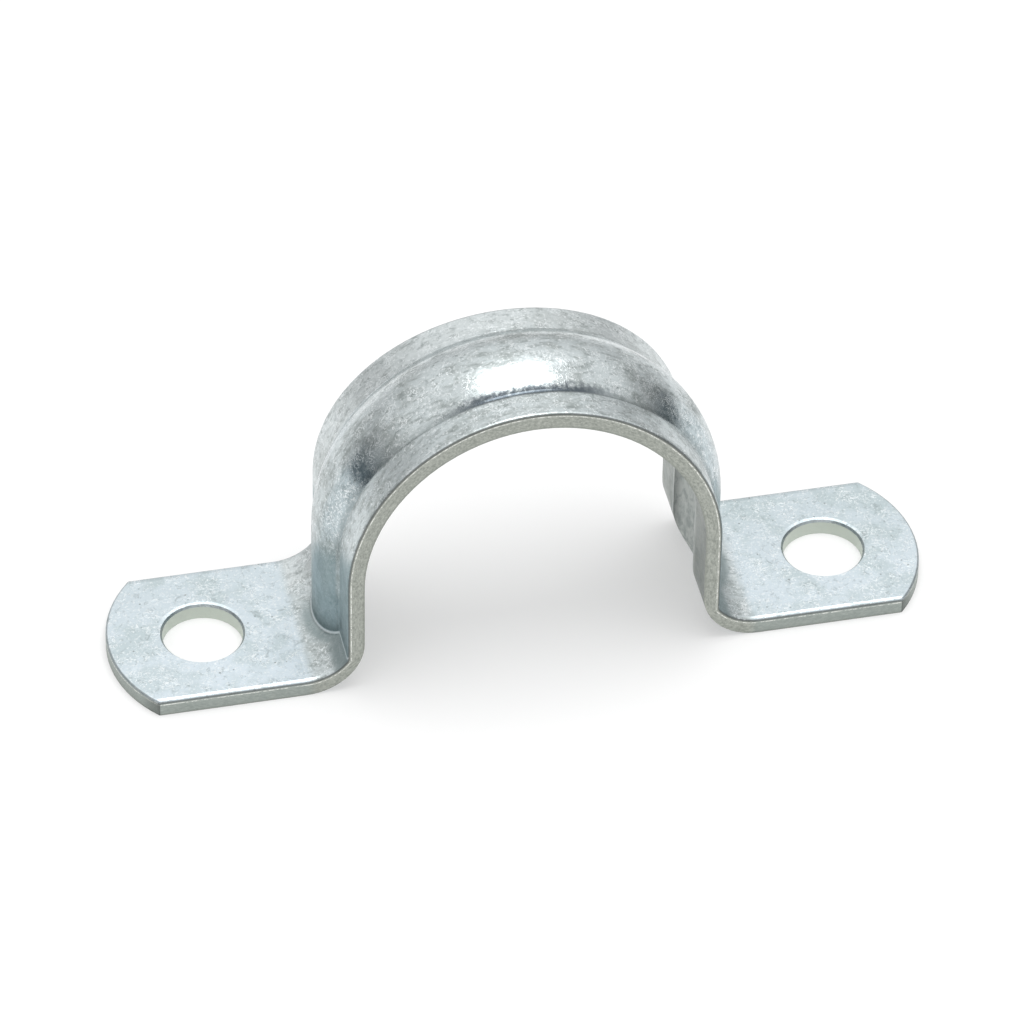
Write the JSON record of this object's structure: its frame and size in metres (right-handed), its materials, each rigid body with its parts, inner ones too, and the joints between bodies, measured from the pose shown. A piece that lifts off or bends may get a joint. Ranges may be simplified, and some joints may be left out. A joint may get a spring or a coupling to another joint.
{
  "type": "pipe clip",
  "caption": "Saddle clip pressed from steel sheet: a ribbed arch holds a pipe against a wall, and flat flanges with round screw holes fix it.",
  "frame": {"origin": "on the wall plane, under the middle of the arch", "axes": "+X from screw hole to screw hole, +Y along the pipe, +Z away from the wall"},
  "size_m": [0.082, 0.018, 0.0332],
  "materials": {
    "zinc_plated_steel": "bright zinc plating, slightly mottled satin"
  },
  "bodies": {
    "root": {"strap": "zinc_plated_steel"}
  },
  "joints": []
}
